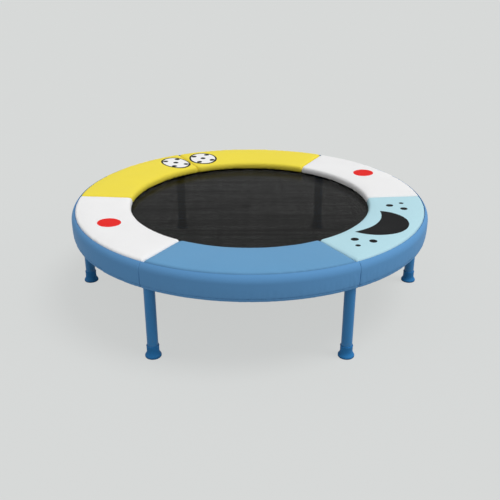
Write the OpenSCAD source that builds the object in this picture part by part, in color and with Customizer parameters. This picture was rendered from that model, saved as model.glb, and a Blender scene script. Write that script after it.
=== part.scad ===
// Round mini trampoline: a steel ring stands on six screw-in legs, a woven mat hangs in it from
// coil springs, and a pad of six padded sections with a side skirt covers the ring and springs.
// Millimetres, +Z up, -Y to the front, origin on the floor under the centre of the mat.
// Sections, legs and skirt panels are numbered counter-clockwise from the front, seen from above.

/* [Overall] */
// Diameter over the bottom edge of the side skirt
overall_d = 914; // [800:1:1100]
// Height of the pad's rim above the floor
overall_h = 245; // [200:1:320]

/* [Frame] */
// Outside diameter of the ring tube and the leg tubes
tube_d = 25.4; // [21:0.1:32]
// Wall thickness of the ring tube and the leg tubes
tube_wall = 1.2; // [0.9:0.1:2]
// Outside diameter of the threaded studs that hold the legs
stud_d = 10; // [8:1:12]
// Pitch of the stud thread
stud_pitch = 1.5; // [1:0.25:2]
// Length of stud below its socket
stud_l = 24; // [20:1:30]

/* [Springs] */
// Number of coil springs, the same between every two legs
spring_count = 36; // [24, 36, 48]
// Outside diameter of a spring
spring_d = 15; // [12:0.5:18]
// Diameter of the spring wire
spring_wire = 2.4; // [2:0.1:2.8]
// Number of turns in a spring
spring_turns = 20; // [14:1:24]

/* [Mat] */
// Thickness of the woven mat
mat_t = 1.2; // [0.8:0.1:2]
// Width of the webbing band sewn round the edge of the mat
band_w = 16; // [12:1:22]

/* [Pad] */
// Width of the pad from its inner edge to its outer edge
pad_w = 145; // [118:1:148]
// Thickness of the pad
pad_t = 21; // [16:0.5:30]
// Thickness of the pad's cover
cover_t = 1; // [0.6:0.1:1.5]

/* [Skirt] */
// Height of the side skirt below the pad's rim
skirt_h = 65; // [46:1:75]
// How much further out the skirt's bottom edge is than its shoulder
skirt_flare = 3.6; // [2:0.1:8]
// Thickness of the skirt
skirt_t = 1.2; // [0.8:0.1:1.5]

/* [Feet] */
// Height of a foot cap
foot_h = 30; // [22:1:40]
// Thickness of the rubber under the end of the leg tube
foot_sole = 6; // [4:0.5:10]

/* [Hidden] */
SECTIONS = 6;
SECTION_ANGLE = 360 / SECTIONS;
FRONT = -90;                 // direction of section 1's middle

tube_r = tube_d / 2;
tube_bore_r = tube_r - tube_wall;
running_gap = 0.05;          // radial clearance of a turning or sliding fit
seat_gap = 0.3;              // clearance of a curved face from what it rests against

// Skirt and pad outline, from the outside in and from the top down
skirt_foot_r = overall_d / 2;
shoulder_r = skirt_foot_r - skirt_flare;
skirt_bottom = overall_h - skirt_h;
pad_out_r = shoulder_r - skirt_t;
pad_in_r = pad_out_r - pad_w;
pad_top = overall_h - skirt_t;
pad_bottom = pad_top - pad_t;
pad_out_round = 5.2;         // radius of the pad's top outer edge, which the skirt wraps over
pad_in_round = min(9, 0.47 * pad_t);  // radius of the pad's top inner edge
shoulder_z = pad_top - pad_out_round;

// Ring
ring_r = pad_out_r - 0.5 - tube_r;
ring_z = pad_bottom - seat_gap - tube_r;

// Springs, from the hole in the ring inwards
spring_r = spring_d / 2;
wire_r = spring_wire / 2;
spring_z = pad_bottom - 0.5 - spring_r;
spring_first = FRONT + 180 / spring_count;
spring_step = 360 / spring_count;
hook_hole_r = wire_r + 1.8;
hook_bend = 3;               // bend radius of a hook, on the wire's centre line
hook_tail = 4;               // straight end of a hook
hole_low = spring_z - ring_z - hook_hole_r;
tail_r = ring_r - sqrt(pow(tube_bore_r, 2) - pow(hole_low, 2)) + seat_gap + wire_r;
coil_out_r = tail_r - hook_bend - 11.5;
turn_pitch = 1.17 * spring_wire;
coil_l = spring_turns * turn_pitch;
coil_in_r = coil_out_r - coil_l;

// D-rings, webbing tabs and mat, from the springs' inner hooks inwards
dring_wire_r = 1.5;
dring_bend = 12.5;           // radius of the D's arc, on the wire's centre line
dring_play = 0.5;            // clearance of the spring's hook round the D-ring's wire
eye_r = dring_wire_r + dring_play + wire_r;
apex_r = coil_in_r - 9;
dring_r = apex_r - dring_bend;
tab_t = 1;
tab_w = 2 * dring_bend - 5;
tab_hole_r = dring_wire_r + seat_gap;
tab_out_r = tab_hole_r + tab_t;
band_t = 1;
band_out_r = dring_r - tab_out_r - 2;
band_in_r = band_out_r - band_w;
mat_r = band_out_r - band_t;
mat_bottom = spring_z + tab_out_r + band_t;

// Legs, from the ring down
socket_l = 7;                // length of a socket below the ring
socket_bottom = ring_z - tube_r - socket_l;
socket_top = ring_z - 0.55 * tube_r;
stud_seat = socket_l - 1;    // depth of a stud in its socket
thread_depth = 0.54 * stud_pitch;
insert_flange = 3;
insert_l = 18;               // length of an insert below its flange
leg_top = socket_bottom - insert_flange;

// Foot caps
foot_sleeve_r = tube_r + 1.6;
foot_lip_r = tube_r + 6.1;
foot_lip = 5;                // thickness of the lip
foot_flare_z = 16;           // height where the flare meets the sleeve
foot_step = foot_lip_r - foot_sleeve_r;
foot_flare_r = (pow(foot_step, 2) + pow(foot_flare_z - foot_lip, 2)) / (2 * foot_step);

// Hem elastic and tie straps
elastic_w = 6;
elastic_t = 1;
elastic_z = skirt_bottom + 3;
strap_t = 1;
strap_w = 24;
strap_in_r = tube_r + 0.1;
strap_side = 10;             // angle of a strap to either side of a section's middle

$fn = 96;
FINE = 360;                  // steps round the big circles

PAD_COLOURS = ["#6d9fc7", "#bbe0e9", "#efefef", "#efdc52", "#efdc52", "#efefef"];

// Direction of leg i, which stands under the seam after section i
function leg_angle(i) = FRONT + SECTION_ANGLE * (i - 0.5);

// Direction where section i starts
function section_start(i) = FRONT + SECTION_ANGLE * (i - 1.5);

// Inner radius of the skirt at height z
function skirt_in_r(z) =
    pad_out_r + skirt_flare * (shoulder_z - z) / (shoulder_z - skirt_bottom);

// Quarter disc with its corner at the origin, turned by a
module quarter_disc(r, a) {
    rotate(a) intersection() {
        circle(r);
        square(r);
    }
}

// Cross-section of the pad with its top edges rounded, shrunk by inset on every side
module pad_section(inset) {
    r0 = pad_in_r + inset;
    r1 = pad_out_r - inset;
    z0 = pad_bottom + inset;
    z1 = pad_top - inset;
    in_round = pad_in_round - inset;
    out_round = pad_out_round - inset;
    union() {
        translate([r0 + in_round, z0]) square([r1 - r0 - in_round - out_round, z1 - z0]);
        translate([r0, z0]) square([in_round, z1 - z0 - in_round]);
        translate([r1 - out_round, z0]) square([out_round, z1 - z0 - out_round]);
        translate([r0 + in_round, z1 - in_round]) quarter_disc(in_round, 90);
        translate([r1 - out_round, z1 - out_round]) quarter_disc(out_round, 0);
    }
}

// Turns a child's cross-section round the centre from angle a through sweep degrees
module swept(a, sweep) {
    rotate(a) rotate_extrude(angle = sweep, $fn = FINE) children();
}

// Puts a part that is drawn along +X at each spring's place
module at_springs() {
    for (i = [0 : spring_count - 1]) rotate(spring_first + spring_step * i) children();
}

// ---- Frame ----

// Solid torus of the ring tube's path
module ring_torus(r) {
    translate([0, 0, ring_z]) rotate_extrude($fn = FINE) translate([ring_r, 0]) circle(r);
}

module frame_ring() {
    color("#3f7bb0") difference() {
        ring_torus(tube_r);
        ring_torus(tube_bore_r);
        at_springs() translate([ring_r - tube_r - 2, 0, spring_z])
            rotate([0, 90, 0]) cylinder(h = tube_r, r = hook_hole_r, $fn = 32);
    }
}

// Boss welded under the ring, shaped to sit against the round tube
module leg_socket(i) {
    color("#3f7bb0") difference() {
        rotate(leg_angle(i)) translate([ring_r, 0, socket_bottom])
            cylinder(h = socket_top - socket_bottom, r = tube_r);
        ring_torus(tube_r);
        rotate(leg_angle(i)) translate([ring_r, 0, socket_bottom - 1])
            cylinder(h = stud_seat + 1, r = stud_d / 2);
    }
}

// Threaded studs, their threads as rings of the thread's pitch and depth under a plain shank
module leg_studs() {
    stud_r = stud_d / 2;
    root_r = stud_r - thread_depth;
    turns = floor((stud_l - 2) / stud_pitch);
    crest = stud_pitch / 8;
    flank = 0.35 * stud_pitch;
    thread = [for (k = [0 : turns - 1]) let (z = stud_pitch * (k + 0.1)) each
        [[root_r, z], [stud_r, z + flank], [stud_r, z + flank + crest], [root_r, z + 2 * flank + crest]]];
    thread_l = stud_pitch * turns;
    top = stud_l + stud_seat;
    outline = concat([[0, 0], [root_r, 0]], thread,
        [[root_r, thread_l + 0.2], [stud_r, thread_l + 1.2], [stud_r, top], [0, top]]);
    color("#c8cacc") for (i = [1 : SECTIONS])
        rotate(leg_angle(i)) translate([ring_r, 0, socket_bottom - stud_l])
            rotate_extrude() polygon(outline);
}

// ---- Legs ----

// Threaded insert in the top of leg i, with a flange that seats against the socket
module leg_insert(i) {
    color("#9a9c9e") rotate(leg_angle(i)) translate([ring_r, 0, 0]) difference() {
        union() {
            translate([0, 0, leg_top]) cylinder(h = insert_flange, r = tube_r);
            translate([0, 0, leg_top - insert_l]) cylinder(h = insert_l, r = tube_bore_r - running_gap);
        }
        translate([0, 0, leg_top - insert_l - 1])
            cylinder(h = insert_l + insert_flange + 2, r = stud_d / 2 + running_gap);
    }
}

module leg_tube(i) {
    color("#2d5f91") rotate(leg_angle(i)) translate([ring_r, 0, foot_sole]) difference() {
        cylinder(h = leg_top - foot_sole, r = tube_r);
        translate([0, 0, -1]) cylinder(h = leg_top - foot_sole + 2, r = tube_bore_r);
    }
}

// Rubber cap: a sleeve round the tube that flares out to a lip at the floor
module foot_cap(i) {
    color("#0a467d") rotate(leg_angle(i)) translate([ring_r, 0, 0]) rotate_extrude() difference() {
        union() {
            square([foot_sleeve_r, foot_h]);
            difference() {
                square([foot_lip_r, foot_flare_z]);
                translate([foot_sleeve_r + foot_flare_r, foot_flare_z]) circle(foot_flare_r);
            }
        }
        translate([0, foot_sole]) square([tube_r, foot_h]);
        translate([foot_lip_r, 0]) rotate(45) square(1.4, center = true);
    }
}

// ---- Springs ----

// Body of one spring along +X: every turn is a rib, and the ends are closed by a last turn
module spring_coil() {
    root_r = spring_r - 0.45 * spring_wire;
    ribs = [for (k = [0 : 2 * spring_turns]) [k % 2 == 0 ? root_r : spring_r, turn_pitch * k / 2]];
    translate([coil_in_r, 0, spring_z]) rotate([0, 90, 0]) difference() {
        rotate_extrude($fn = 32) polygon(concat([[0, 0]], ribs, [[0, coil_l]]));
        translate([0, 0, spring_wire])
            cylinder(h = coil_l - 2 * spring_wire, r = spring_r - spring_wire, $fn = 32);
    }
}

// Hook that drops through a hole in the ring and lies against the inside of the tube
module outer_hook() {
    start = coil_out_r - wire_r;
    translate([start, 0, spring_z]) rotate([0, 90, 0])
        cylinder(h = tail_r - hook_bend - start, r = wire_r, $fn = 24);
    translate([tail_r - hook_bend, 0, spring_z - hook_bend]) rotate([90, 0, 0])
        rotate_extrude(angle = 90, $fn = 64) translate([hook_bend, 0]) circle(wire_r, $fn = 24);
    translate([tail_r, 0, spring_z - hook_bend - hook_tail])
        cylinder(h = hook_tail, r = wire_r, $fn = 24);
}

// Hook that curls over the D-ring's wire
module inner_hook() {
    translate([apex_r, 0, spring_z + eye_r]) rotate([0, 90, 0])
        cylinder(h = coil_in_r + wire_r - apex_r, r = wire_r, $fn = 24);
    translate([apex_r, 0, spring_z]) rotate([90, 0, 0]) rotate(90)
        rotate_extrude(angle = 180, $fn = 64) translate([eye_r, 0]) circle(wire_r, $fn = 24);
    translate([apex_r, 0, spring_z - eye_r]) rotate([0, 90, 0])
        cylinder(h = hook_tail / 2, r = wire_r, $fn = 24);
}

module coil_springs() {
    color("#b8babc") at_springs() union() {
        spring_coil();
        outer_hook();
        inner_hook();
    }
}

// ---- Mat ----

module mat_sheet() {
    color("#363731") translate([0, 0, mat_bottom]) cylinder(h = mat_t, r = mat_r, $fn = FINE);
}

// Webbing folded over the edge of the mat
module mat_edge_band() {
    color("#1c1c1c") rotate_extrude($fn = FINE) difference() {
        translate([band_in_r, mat_bottom - band_t]) square([band_w, mat_t + 2 * band_t]);
        translate([band_in_r - 1, mat_bottom]) square([band_w + 1 - band_t, mat_t]);
    }
}

// Webbing loops that hold the D-rings, sewn under the edge band
module mat_tabs() {
    fold_r = dring_r - 12;
    color("#1c1c1c") at_springs() translate([0, tab_w / 2, spring_z]) rotate([90, 0, 0])
        linear_extrude(height = tab_w) union() {
            translate([band_in_r, tab_hole_r]) square([dring_r - band_in_r, tab_t]);
            polygon([[band_in_r, tab_hole_r], [band_in_r, tab_hole_r - tab_t],
                [fold_r, tab_hole_r - tab_t], [dring_r, -tab_out_r],
                [dring_r, -tab_hole_r], [fold_r, tab_hole_r]]);
            translate([dring_r, 0]) difference() {
                intersection() {
                    circle(tab_out_r);
                    translate([0, -tab_out_r]) square([tab_out_r, 2 * tab_out_r]);
                }
                circle(tab_hole_r);
            }
        }
}

// Steel D-rings between the tabs and the springs
module mat_rings() {
    bar = 2 * (dring_bend + dring_wire_r);
    color("#b8babc") at_springs() translate([dring_r, 0, spring_z]) union() {
        rotate(-90) rotate_extrude(angle = 180, $fn = 64)
            translate([dring_bend, 0]) circle(dring_wire_r, $fn = 24);
        translate([0, bar / 2, 0]) rotate([90, 0, 0]) cylinder(h = bar, r = dring_wire_r, $fn = 24);
    }
}

// ---- Pad ----

// Sewn cover of section i, hollow for its foam and closed at both ends
module pad_cover(i) {
    end_wall = 180 / PI * cover_t / pad_in_r;
    color(PAD_COLOURS[i - 1]) difference() {
        swept(section_start(i), SECTION_ANGLE) pad_section(0);
        swept(section_start(i) + end_wall, SECTION_ANGLE - 2 * end_wall) pad_section(cover_t);
    }
}

// Foam filling of section i
module pad_foam(i) {
    end_wall = 180 / PI * cover_t / pad_in_r;
    color("#f2ecd8") swept(section_start(i) + end_wall, SECTION_ANGLE - 2 * end_wall)
        pad_section(cover_t);
}

// ---- Skirt ----

// Area inside the skirt, or inside its outer face when out is the skirt's thickness
module skirt_outline(out, below) {
    corner_r = pad_out_r - pad_out_round;
    union() {
        translate([corner_r, shoulder_z]) quarter_disc(pad_out_round + out, 0);
        polygon([[corner_r, skirt_bottom - below],
            [skirt_in_r(skirt_bottom - below) + out, skirt_bottom - below],
            [pad_out_r + out, shoulder_z], [corner_r, shoulder_z]]);
    }
}

// Panel i of the skirt: it wraps over the pad's outer edge and hangs down past the ring
module side_skirt(i) {
    color("#56839f") swept(section_start(i), SECTION_ANGLE) difference() {
        skirt_outline(skirt_t, 0);
        skirt_outline(0, 1);
    }
}

// Flat elastic sewn inside the skirt's hem
module skirt_elastic() {
    top = elastic_z + elastic_w;
    color("#2a2a2a") rotate_extrude($fn = FINE)
        polygon([[skirt_in_r(elastic_z), elastic_z], [skirt_in_r(top), top],
            [skirt_in_r(top) - elastic_t, top], [skirt_in_r(elastic_z) - elastic_t, elastic_z]]);
}

// Straps from the pad's underside round the ring tube
module tie_straps() {
    sweep = 180 / PI * strap_w / ring_r;
    color("#1c1c1c") for (i = [1 : SECTIONS], side = [-1, 1])
        swept(FRONT + SECTION_ANGLE * (i - 1) + side * strap_side - sweep / 2, sweep)
            difference() {
                translate([ring_r, ring_z]) union() {
                    circle(strap_in_r + strap_t);
                    translate([-strap_in_r - strap_t, 0])
                        square([2 * (strap_in_r + strap_t), pad_bottom - ring_z]);
                }
                translate([ring_r, ring_z]) union() {
                    circle(strap_in_r);
                    translate([-strap_in_r, 0]) square([2 * strap_in_r, pad_bottom - ring_z + 1]);
                }
                translate([ring_r - 2 * tube_r, pad_bottom]) square(4 * tube_r);
            }
}

frame_ring();
leg_socket(1);  // leg_socket_1
leg_socket(2);  // leg_socket_2
leg_socket(3);  // leg_socket_3
leg_socket(4);  // leg_socket_4
leg_socket(5);  // leg_socket_5
leg_socket(6);  // leg_socket_6
leg_studs();
leg_insert(1);  // leg_insert_1
leg_insert(2);  // leg_insert_2
leg_insert(3);  // leg_insert_3
leg_insert(4);  // leg_insert_4
leg_insert(5);  // leg_insert_5
leg_insert(6);  // leg_insert_6
leg_tube(1);  // leg_tube_1
leg_tube(2);  // leg_tube_2
leg_tube(3);  // leg_tube_3
leg_tube(4);  // leg_tube_4
leg_tube(5);  // leg_tube_5
leg_tube(6);  // leg_tube_6
foot_cap(1);  // foot_cap_1
foot_cap(2);  // foot_cap_2
foot_cap(3);  // foot_cap_3
foot_cap(4);  // foot_cap_4
foot_cap(5);  // foot_cap_5
foot_cap(6);  // foot_cap_6
coil_springs();
mat_sheet();
mat_edge_band();
mat_tabs();
mat_rings();
pad_cover(1);  // pad_cover_1
pad_cover(2);  // pad_cover_2
pad_cover(3);  // pad_cover_3
pad_cover(4);  // pad_cover_4
pad_cover(5);  // pad_cover_5
pad_cover(6);  // pad_cover_6
pad_foam(1);  // pad_foam_1
pad_foam(2);  // pad_foam_2
pad_foam(3);  // pad_foam_3
pad_foam(4);  // pad_foam_4
pad_foam(5);  // pad_foam_5
pad_foam(6);  // pad_foam_6
side_skirt(1);  // side_skirt_1
side_skirt(2);  // side_skirt_2
side_skirt(3);  // side_skirt_3
side_skirt(4);  // side_skirt_4
side_skirt(5);  // side_skirt_5
side_skirt(6);  // side_skirt_6
skirt_elastic();
tie_straps();
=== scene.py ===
# %% [markdown]
# # A child's mini trampoline
#
# This lesson dresses a round mini trampoline that already has its construction: a steel ring, six
# screw-in legs, a mat hung from coil springs, and a padded rim. The construction arrives as a frame of
# named parts in metres. The new pieces take their places and main sizes from it, so that they fit
# without being moved by hand. What is left for Blender is what makes the object look real: soft pads,
# creased coated fabric, springs with true coils, a woven mat and a finish for every surface.

# %% Load the frame
import math

import bmesh
import bpy
import numpy as np
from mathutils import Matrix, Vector, noise


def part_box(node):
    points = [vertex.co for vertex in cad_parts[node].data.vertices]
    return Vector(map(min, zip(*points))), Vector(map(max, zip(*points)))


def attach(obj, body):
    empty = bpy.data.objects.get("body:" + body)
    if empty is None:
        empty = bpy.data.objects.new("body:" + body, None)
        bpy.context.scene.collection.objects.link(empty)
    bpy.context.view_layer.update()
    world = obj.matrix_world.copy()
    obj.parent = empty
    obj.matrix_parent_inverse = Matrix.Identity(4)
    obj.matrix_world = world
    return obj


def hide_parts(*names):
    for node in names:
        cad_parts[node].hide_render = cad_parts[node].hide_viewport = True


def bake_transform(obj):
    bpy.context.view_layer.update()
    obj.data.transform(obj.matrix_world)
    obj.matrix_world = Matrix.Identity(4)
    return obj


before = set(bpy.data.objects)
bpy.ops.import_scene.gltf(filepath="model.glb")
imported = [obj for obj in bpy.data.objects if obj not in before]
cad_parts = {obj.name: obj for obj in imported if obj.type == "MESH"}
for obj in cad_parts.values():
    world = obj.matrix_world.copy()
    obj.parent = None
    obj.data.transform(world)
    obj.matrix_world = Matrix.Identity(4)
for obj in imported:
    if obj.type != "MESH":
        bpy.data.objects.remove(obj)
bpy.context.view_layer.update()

# %% [markdown]
# ## Read the sizes
#
# The frame tells how big each part is. The pad, skirt and legs are laid out in six equal sections, so a
# few radii and heights describe the whole object. The front section's lowest Y gives an outer radius,
# and its highest Y, divided by the cosine of half a section, gives the inner one.

# %% Sizes from the frame
MM = 0.001
SECTIONS = 6
SECTION = 2 * math.pi / SECTIONS
FRONT = -math.pi / 2
SPRINGS = 36
SPRING_STEP = 2 * math.pi / SPRINGS
WEDGES = 18

pad_low, pad_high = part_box("pad_cover_1")
skirt_low, skirt_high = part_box("side_skirt_1")
mat_low, mat_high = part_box("mat_sheet")
ring_low, ring_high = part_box("frame_ring")
band_low, band_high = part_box("mat_edge_band")

pad_out = -pad_low.y
pad_in = -pad_high.y / math.cos(SECTION / 2)
pad_bottom, pad_top = pad_low.z, pad_high.z
skirt_foot = -skirt_low.y
skirt_bottom, skirt_top = skirt_low.z, skirt_high.z
mat_r = mat_high.x
tube_r = (ring_high.z - ring_low.z) / 2
ring_r = ring_high.x - tube_r
ring_z = (ring_low.z + ring_high.z) / 2
print(f"pad {pad_in:.4f} to {pad_out:.4f}, skirt foot {skirt_foot:.4f}, ring {ring_r:.4f}, mat {mat_r:.4f}")


def leg_angle(i):
    """Direction of leg i, under the seam after section i."""
    return FRONT + SECTION * (i - 0.5)


def spring_angle(k):
    """Direction of spring k."""
    return FRONT + SPRING_STEP * (k + 0.5)


# %% [markdown]
# ## Helpers for meshes
#
# Nearly every piece here is either a line swept into a tube or a grid of points bent into shape. Two
# small helpers cover both. Each keeps the piece's origin at the frame's origin, because the frame
# places things by their points.

# %% Mesh helpers
SHARP_DEGREES = 50
NEARLY_UPRIGHT = 0.1


def add_piece(name, points, faces, material, body, smooth=True):
    """A mesh object from points and faces, with its finish, riding on a body."""
    mesh = bpy.data.meshes.new(name)
    mesh.from_pydata([tuple(p) for p in points], [], [tuple(f) for f in faces])
    mesh.validate()
    bm = bmesh.new()
    bm.from_mesh(mesh)
    bmesh.ops.recalc_face_normals(bm, faces=bm.faces)
    bm.to_mesh(mesh)
    bm.free()
    mesh.polygons.foreach_set("use_smooth", [smooth] * len(mesh.polygons))
    mesh.set_sharp_from_angle(angle=math.radians(SHARP_DEGREES))
    mesh.materials.append(material)
    piece = bpy.data.objects.new(name, mesh)
    bpy.context.scene.collection.objects.link(piece)
    if body:
        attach(piece, body)
    return piece


def turned(points, angle):
    """Points turned about the vertical axis by angle."""
    c, s = math.cos(angle), math.sin(angle)
    points = np.asarray(points, float)
    return np.column_stack([points[:, 0] * c - points[:, 1] * s,
                            points[:, 0] * s + points[:, 1] * c, points[:, 2]])


def joined(meshes):
    """Several (points, faces) as one."""
    points, faces, start = [], [], 0
    for p, f in meshes:
        points.append(np.asarray(p, float))
        faces += [[i + start for i in face] for face in f]
        start += len(p)
    return np.vstack(points), faces


def grid_faces(rows, columns, wrap_rows=False, wrap_columns=False):
    """Faces of a grid of points that runs row by row."""
    faces = []
    for r in range(rows if wrap_rows else rows - 1):
        for c in range(columns if wrap_columns else columns - 1):
            r2, c2 = (r + 1) % rows, (c + 1) % columns
            faces.append([r * columns + c, r * columns + c2, r2 * columns + c2, r2 * columns + c])
    return faces


# %% Tube helper
def swept_tube(path, radius, sides=8, closed=False):
    """A round tube along a path, capped at its ends unless it is closed."""
    path = np.asarray(path, float)
    n = len(path)
    if closed:
        tangent = np.roll(path, -1, 0) - np.roll(path, 1, 0)
    else:
        tangent = np.gradient(path, axis=0)
    tangent /= np.linalg.norm(tangent, axis=1)[:, None]
    side = np.cross(tangent[0], [0, 0, 1])
    if np.linalg.norm(side) < NEARLY_UPRIGHT:
        side = np.cross(tangent[0], [0, 1, 0])
    side /= np.linalg.norm(side)
    radius = np.broadcast_to(radius, n)
    around = np.linspace(0, 2 * math.pi, sides, endpoint=False)
    points = []
    for i in range(n):
        side = side - tangent[i] * side.dot(tangent[i])
        side /= np.linalg.norm(side)
        other = np.cross(tangent[i], side)
        for a in around:
            points.append(path[i] + radius[i] * (math.cos(a) * side + math.sin(a) * other))
    faces = grid_faces(n, sides, wrap_rows=closed, wrap_columns=True)
    if not closed:
        faces += [list(range(sides))[::-1], list(range((n - 1) * sides, n * sides))]
    return np.array(points), faces


# %% [markdown]
# ## Helpers for finishes
#
# A finish is a small tree of nodes. Colours below are written as the eye reads them on a screen, from 0
# to 255, and turned into the linear values that the shader wants. The patterns use object coordinates:
# they stay at their true scale on every piece, and they don't need an unwrapped mesh.

# %% Finish helpers
def linear(r, g, b):
    """A screen colour as linear RGBA."""
    def one(c):
        c /= 255
        return c / 12.92 if c <= 0.04045 else ((c + 0.055) / 1.055) ** 2.4
    return (one(r), one(g), one(b), 1)


# %% A finish under construction
class Finish:
    """A material under construction, with shorthand for its nodes."""

    def __init__(self, name, roughness=0.5, metallic=0.0, specular=0.5):
        self.material = bpy.data.materials.new(name)
        self.material.use_nodes = True
        self.nodes = self.material.node_tree.nodes
        self.links = self.material.node_tree.links
        self.shader = self.nodes["Principled BSDF"]
        self.shader.inputs["Roughness"].default_value = roughness
        self.shader.inputs["Metallic"].default_value = metallic
        self.shader.inputs["Specular IOR Level"].default_value = specular
        self.place = self.nodes.new("ShaderNodeTexCoord").outputs["Object"]

    def feed(self, socket, value):
        """Puts a number, a colour or another node's output on a socket."""
        if isinstance(value, bpy.types.NodeSocket):
            self.links.new(value, socket)
        else:
            socket.default_value = value

    def math(self, operation, a, b=0.0):
        """One sum on numbers, such as ADD or MULTIPLY."""
        node = self.nodes.new("ShaderNodeMath")
        node.operation = operation
        self.feed(node.inputs[0], a)
        self.feed(node.inputs[1], b)
        return node.outputs[0]

    def vector(self, operation, a, b):
        """One sum on vectors."""
        node = self.nodes.new("ShaderNodeVectorMath")
        node.operation = operation
        self.feed(node.inputs[0], a)
        self.feed(node.inputs[1], b)
        return node.outputs["Value" if operation == "DOT_PRODUCT" else "Vector"]

    def scaled(self, x, y, z):
        """Object coordinates stretched along each axis."""
        return self.vector("MULTIPLY", self.place, (x, y, z))

    def height(self):
        """Height above the floor in metres."""
        return self.split()["Z"]

    def split(self):
        """The three object coordinates, each as a number of its own."""
        node = self.nodes.new("ShaderNodeSeparateXYZ")
        self.links.new(self.place, node.inputs[0])
        return node.outputs

    def noise(self, scale, detail=3.0, vector=None):
        """Smooth noise with so many lumps a metre, from 0 to 1."""
        node = self.nodes.new("ShaderNodeTexNoise")
        node.inputs["Scale"].default_value = scale
        node.inputs["Detail"].default_value = detail
        self.links.new(vector or self.place, node.inputs["Vector"])
        return node.outputs["Fac"]

    def cells(self, scale):
        """A pattern of small round cells, so many a metre."""
        node = self.nodes.new("ShaderNodeTexVoronoi")
        node.inputs["Scale"].default_value = scale
        self.links.new(self.place, node.inputs["Vector"])
        return node.outputs["Distance"]

    def remap(self, value, low, high, to_low=0.0, to_high=1.0, smooth=False):
        """Stretches the range low to high onto the range to_low to to_high, and stops at its ends."""
        node = self.nodes.new("ShaderNodeMapRange")
        node.interpolation_type = "SMOOTHSTEP" if smooth else "LINEAR"
        self.feed(node.inputs["Value"], value)
        ends = (("From Min", low), ("From Max", high), ("To Min", to_low), ("To Max", to_high))
        for name, number in ends:
            node.inputs[name].default_value = number
        return node.outputs["Result"]

    def mix(self, share, a, b):
        """Colour a, turning into colour b as share goes from 0 to 1."""
        node = self.nodes.new("ShaderNodeMix")
        node.data_type = "RGBA"
        self.feed(node.inputs[0], share)
        colour_a, colour_b = (s for s in node.inputs if s.name in "AB" and s.type == "RGBA")
        self.feed(colour_a, a)
        self.feed(colour_b, b)
        return next(socket for socket in node.outputs if socket.type == "RGBA")

    def bump(self, height, depth, strength=1.0, onto=None):
        """Relief of a real depth in metres, on top of another relief if onto is given."""
        node = self.nodes.new("ShaderNodeBump")
        node.inputs["Strength"].default_value = strength
        node.inputs["Distance"].default_value = depth
        self.links.new(height, node.inputs["Height"])
        if onto:
            self.links.new(onto, node.inputs["Normal"])
        self.links.new(node.outputs["Normal"], self.shader.inputs["Normal"])
        return node.outputs["Normal"]

    def colour(self, value):
        """Sets the base colour."""
        self.feed(self.shader.inputs["Base Color"], value)

    def rough(self, value):
        """Sets the roughness."""
        self.feed(self.shader.inputs["Roughness"], value)

    def let_through(self, share, other):
        """Shows another shader's output instead of the finish, by a share from 0 to 1."""
        join = self.nodes.new("ShaderNodeMixShader")
        self.links.new(share, join.inputs["Fac"])
        self.links.new(self.shader.outputs[0], join.inputs[1])
        self.links.new(other, join.inputs[2])
        self.links.new(join.outputs[0], self.nodes["Material Output"].inputs["Surface"])


# %% Lighter and darker
def shade(colour, factor):
    """A linear colour made lighter or darker."""
    return tuple(min(1, c * factor) for c in colour[:3]) + (1,)


# %% [markdown]
# ## Finish: coated fabric
#
# The pads and the skirt are a coated fabric: a soft plastic skin on a knit. It has a very fine pebbled
# grain, a satin gloss that is a little uneven, and colour that hardly varies. The grain is a cell
# pattern about a millimetre across, used as relief. Slow noise moves the gloss a little and the colour
# by a few percent, which is enough to stop the surface from looking like plastic sheet.

# %% Coated fabric
FABRIC_GLOSS = 0.06
PATCHES, DUST, PEBBLES, RIPPLES = 9, 420, 900, 60
PEBBLE_DEPTH, RIPPLE_DEPTH = 0.00012, 0.0006


def coated_fabric(name, colour, prints=()):
    """Coated fabric of one colour. Each print is (mask function, colour), laid over the one before."""
    f = Finish(name, roughness=0.5, specular=FABRIC_GLOSS)
    slow = f.noise(PATCHES, 2)
    fine = f.noise(DUST, 2)
    base = f.mix(slow, shade(colour, 0.965), shade(colour, 1.02))
    base = f.mix(f.remap(fine, 0.3, 0.7, 0, 0.25), base, shade(colour, 0.9))
    if prints:
        on_top = f.math("GREATER_THAN", f.height(), (pad_bottom + pad_top) / 2)
    for mask, ink in prints:
        base = f.mix(f.math("MULTIPLY", mask(f), on_top), base, ink)
    f.colour(base)
    broad_gloss = f.remap(slow, 0.3, 0.7, 0.44, 0.53)
    f.rough(f.math("ADD", broad_gloss, f.remap(fine, 0.3, 0.7, 0.0, 0.06)))
    grain = f.bump(f.cells(PEBBLES), PEBBLE_DEPTH, 0.35)
    f.bump(f.noise(RIPPLES, 3), RIPPLE_DEPTH, 0.22, onto=grain)
    return f.material


# %% [markdown]
# ## Finish: the prints on the pads
#
# Some sections carry plain geometric prints: red dots on the white sections, dotted ovals on the
# yellow ones, and a crescent with a few dots on the light blue one. A print is flat ink with a crisp
# edge, so it's made in the finish, not in the mesh. A dot is the set of places nearer to its middle
# than its radius, and a crescent is a disc with a second disc cut out of it.

# %% Print masks
INK_EDGE = 0.25 * MM
OVAL, OVAL_STRETCH = 41 * MM, 1.28
OVAL_RIM, OVAL_DOT = 5.0 * MM, 7.8 * MM
DOT_SPREAD = 0.5


def pad_place(radius, from_front):
    """Position on the pad at a radius and an angle in degrees from the front, + towards +X."""
    a = math.radians(from_front)
    return (radius * math.sin(a), -radius * math.cos(a))


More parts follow.
